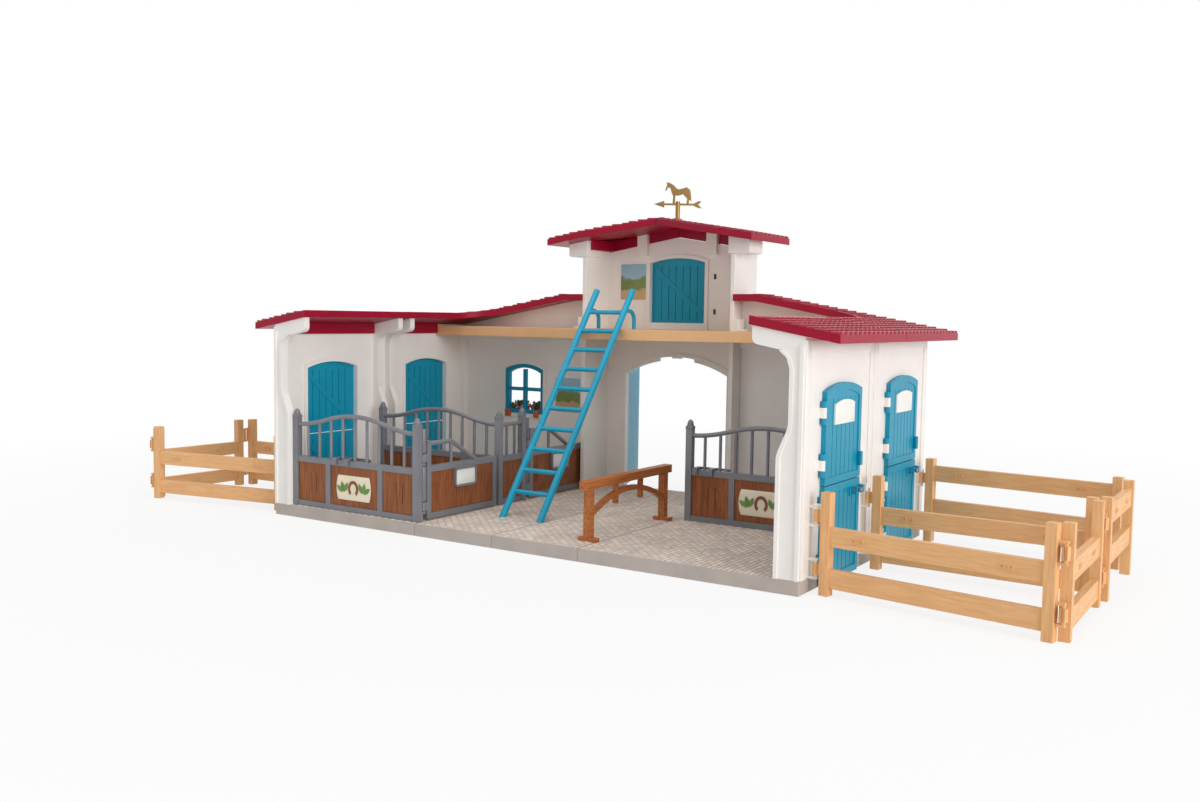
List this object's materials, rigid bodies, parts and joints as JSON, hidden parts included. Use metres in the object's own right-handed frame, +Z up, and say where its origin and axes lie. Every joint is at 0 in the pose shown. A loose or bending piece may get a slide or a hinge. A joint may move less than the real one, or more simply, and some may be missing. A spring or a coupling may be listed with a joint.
{
  "type": "toy horse stable",
  "caption": "Toy horse stable: white courtyard building with raspberry roofs, teal Dutch doors, loft, ladder, tower, stalls with gates, hitching rail and clip-on paddock fences.",
  "frame": {"origin": "middle of the floor's underside, on the axis of the building", "axes": "+Z up, +X to the right seen from the open front, +Y from the front towards the back"},
  "size_m": [0.8342, 0.3549, 0.3094],
  "materials": {
    "floor_stone": "cobble-textured grey-brown plastic",
    "wall_white": "fine satin white plastic",
    "door_teal": "satin teal plastic with moulded planks",
    "roof_raspberry": "satin raspberry plastic with moulded tiles",
    "loft_tan": "satin tan plastic",
    "stall_grey": "satin iron-grey plastic",
    "board_brown": "wood-grain brown plastic",
    "fence_tan": "wood-grain tan plastic",
    "bolt_grey": "satin metallic grey plastic",
    "vane_gold": "antique gold plastic",
    "planter_clay": "matt terracotta plastic",
    "rail_brown": "wood-grain brown plastic"
  },
  "bodies": {
    "stable": {"floor_left": "floor_stone", "floor_centre_left": "floor_stone", "floor_centre_right": "floor_stone", "floor_right": "floor_stone", "wall_right_front": "wall_white", "wall_right_rear": "wall_white", "wall_left_front": "wall_white", "wall_left_rear": "wall_white", "wall_back_left": "wall_white", "wall_back_right": "wall_white", "arch_wall": "wall_white", "tower_wall_left": "wall_white", "tower_wall_right": "wall_white", "tower_back_wall": "wall_white", "roof_right_front": "roof_raspberry", "roof_right_rear": "roof_raspberry", "roof_left_front": "roof_raspberry", "roof_left_rear": "roof_raspberry", "tower_roof_left": "roof_raspberry", "tower_roof_right": "roof_raspberry", "stall_front_frame": "stall_grey", "stall_divider_frame": "stall_grey", "stall_right_frame": "stall_grey", "window_frames": "door_teal", "planters": "planter_clay", "loft_floor": "loft_tan", "vane_post": "vane_gold", "stall_boards": "board_brown", "feed_troughs": "stall_grey", "hitching_rail": "rail_brown", "fence_right_middle": "fence_tan", "fence_right_rear": "fence_tan", "fence_left_rear": "fence_tan"},
    "door_right_front_upper": {"door_right_front_upper": "door_teal"},
    "door_right_front_lower": {"door_right_front_lower": "door_teal"},
    "bolt_right_front": {"bolt_right_front": "bolt_grey"},
    "door_right_rear_upper": {"door_right_rear_upper": "door_teal"},
    "door_right_rear_lower": {"door_right_rear_lower": "door_teal"},
    "bolt_right_rear": {"bolt_right_rear": "bolt_grey"},
    "door_left_rear_upper": {"door_left_rear_upper": "door_teal"},
    "door_left_rear_lower": {"door_left_rear_lower": "door_teal"},
    "bolt_left_rear": {"bolt_left_rear": "bolt_grey"},
    "door_left_front_upper": {"door_left_front_upper": "door_teal"},
    "door_left_front_lower": {"door_left_front_lower": "door_teal"},
    "bolt_left_front": {"bolt_left_front": "bolt_grey"},
    "loft_door": {"loft_door": "door_teal"},
    "arch_gate_right": {"arch_gate_right": "door_teal"},
    "arch_gate_left": {"arch_gate_left": "door_teal"},
    "gate_front": {"gate_front_frame": "stall_grey", "gate_front_boards": "board_brown"},
    "gate_rear": {"gate_rear_frame": "stall_grey", "gate_rear_boards": "board_brown"},
    "weather_vane": {"weather_vane": "vane_gold"},
    "ladder": {"ladder": "door_teal"},
    "fence_right_front": {"fence_right_front": "fence_tan"},
    "fence_right_side_front": {"fence_right_side_front": "fence_tan"},
    "fence_right_side_rear": {"fence_right_side_rear": "fence_tan"},
    "fence_left_front": {"fence_left_front": "fence_tan"},
    "fence_left_side": {"fence_left_side": "fence_tan"}
  },
  "joints": [
    {"name": "door_right_front_upper_hinge", "type": "hinge", "parent": "stable", "child": "door_right_front_upper", "pos_m": [0.25245, -0.0994, 0.0686], "axis": [0, 0, -1], "range_deg": [0, 90]},
    {"name": "door_right_front_lower_hinge", "type": "hinge", "parent": "stable", "child": "door_right_front_lower", "pos_m": [0.25245, -0.0994, 0.0686], "axis": [0, 0, -1], "range_deg": [0, 90]},
    {"name": "bolt_right_front_slide", "type": "slide", "parent": "door_right_front_lower", "child": "bolt_right_front", "axis": [0, 1, 0], "range_m": [0, 0.0045]},
    {"name": "door_right_rear_upper_hinge", "type": "hinge", "parent": "stable", "child": "door_right_rear_upper", "pos_m": [0.25245, 0.0286, 0.0686], "axis": [0, 0, -1], "range_deg": [0, 90]},
    {"name": "door_right_rear_lower_hinge", "type": "hinge", "parent": "stable", "child": "door_right_rear_lower", "pos_m": [0.25245, 0.0286, 0.0686], "axis": [0, 0, -1], "range_deg": [0, 90]},
    {"name": "bolt_right_rear_slide", "type": "slide", "parent": "door_right_rear_lower", "child": "bolt_right_rear", "axis": [0, 1, 0], "range_m": [0, 0.0045]},
    {"name": "door_left_rear_upper_hinge", "type": "hinge", "parent": "stable", "child": "door_left_rear_upper", "pos_m": [-0.25245, 0.0994, 0.0686], "axis": [0, 0, -1], "range_deg": [0, 90]},
    {"name": "door_left_rear_lower_hinge", "type": "hinge", "parent": "stable", "child": "door_left_rear_lower", "pos_m": [-0.25245, 0.0994, 0.0686], "axis": [0, 0, -1], "range_deg": [0, 90]},
    {"name": "bolt_left_rear_slide", "type": "slide", "parent": "door_left_rear_lower", "child": "bolt_left_rear", "axis": [0, -1, 0], "range_m": [0, 0.0045]},
    {"name": "door_left_front_upper_hinge", "type": "hinge", "parent": "stable", "child": "door_left_front_upper", "pos_m": [-0.25245, -0.0286, 0.0686], "axis": [0, 0, -1], "range_deg": [0, 90]},
    {"name": "door_left_front_lower_hinge", "type": "hinge", "parent": "stable", "child": "door_left_front_lower", "pos_m": [-0.25245, -0.0286, 0.0686], "axis": [0, 0, -1], "range_deg": [0, 90]},
    {"name": "bolt_left_front_slide", "type": "slide", "parent": "door_left_front_lower", "child": "bolt_left_front", "axis": [0, -1, 0], "range_m": [0, 0.0045]},
    {"name": "loft_door_hinge", "type": "hinge", "parent": "stable", "child": "loft_door", "pos_m": [0.0349, 0.15645, 0.1685], "axis": [0, 0, -1], "range_deg": [0, 110]},
    {"name": "arch_gate_right_hinge", "type": "hinge", "parent": "stable", "child": "arch_gate_right", "pos_m": [0.0607, 0.15645, 0.01], "axis": [0, 0, -1], "range_deg": [-110, 45]},
    {"name": "arch_gate_left_hinge", "type": "hinge", "parent": "stable", "child": "arch_gate_left", "pos_m": [-0.0607, 0.15645, 0.01], "axis": [0, 0, 1], "range_deg": [-110, 45]},
    {"name": "gate_front_hinge", "type": "hinge", "parent": "stable", "child": "gate_front", "pos_m": [-0.087, -0.1147, 0.01], "axis": [0, 0, 1], "range_deg": [-15, 75]},
    {"name": "gate_rear_hinge", "type": "hinge", "parent": "stable", "child": "gate_rear", "pos_m": [-0.087, 0.0258, 0.01], "axis": [0, 0, 1], "range_deg": [0, 75]},
    {"name": "weather_vane_turn", "type": "hinge", "parent": "stable", "child": "weather_vane", "pos_m": [0, 0.148, 0.2721], "axis": [0, 0, 1], "continuous": true},
    {"name": "ladder_lift", "type": "slide", "parent": "stable", "child": "ladder", "axis": [0, 0, 1], "range_m": [0, 0.04]},
    {"name": "fence_right_front_hinge", "type": "hinge", "parent": "stable", "child": "fence_right_front", "pos_m": [0.255, -0.112, 0.034], "axis": [0, 0, 1], "range_deg": [-35, 0]},
    {"name": "fence_right_side_front_hinge", "type": "hinge", "parent": "fence_right_front", "child": "fence_right_side_front", "pos_m": [0.41281, -0.13841, 0.034], "axis": [0, 0, 1], "range_deg": [-85, 0]},
    {"name": "fence_right_side_rear_hinge", "type": "hinge", "parent": "stable", "child": "fence_right_side_rear", "pos_m": [0.41478, -0.02437, 0.034], "axis": [0, 0, 1], "range_deg": [-80, 0]},
    {"name": "fence_left_front_hinge", "type": "hinge", "parent": "stable", "child": "fence_left_front", "pos_m": [-0.255, -0.112, 0.034], "axis": [0, 0, 1], "range_deg": [0, 35]},
    {"name": "fence_left_side_hinge", "type": "hinge", "parent": "fence_left_front", "child": "fence_left_side", "pos_m": [-0.41281, -0.13841, 0.034], "axis": [0, 0, 1], "range_deg": [0, 85]}
  ]
}
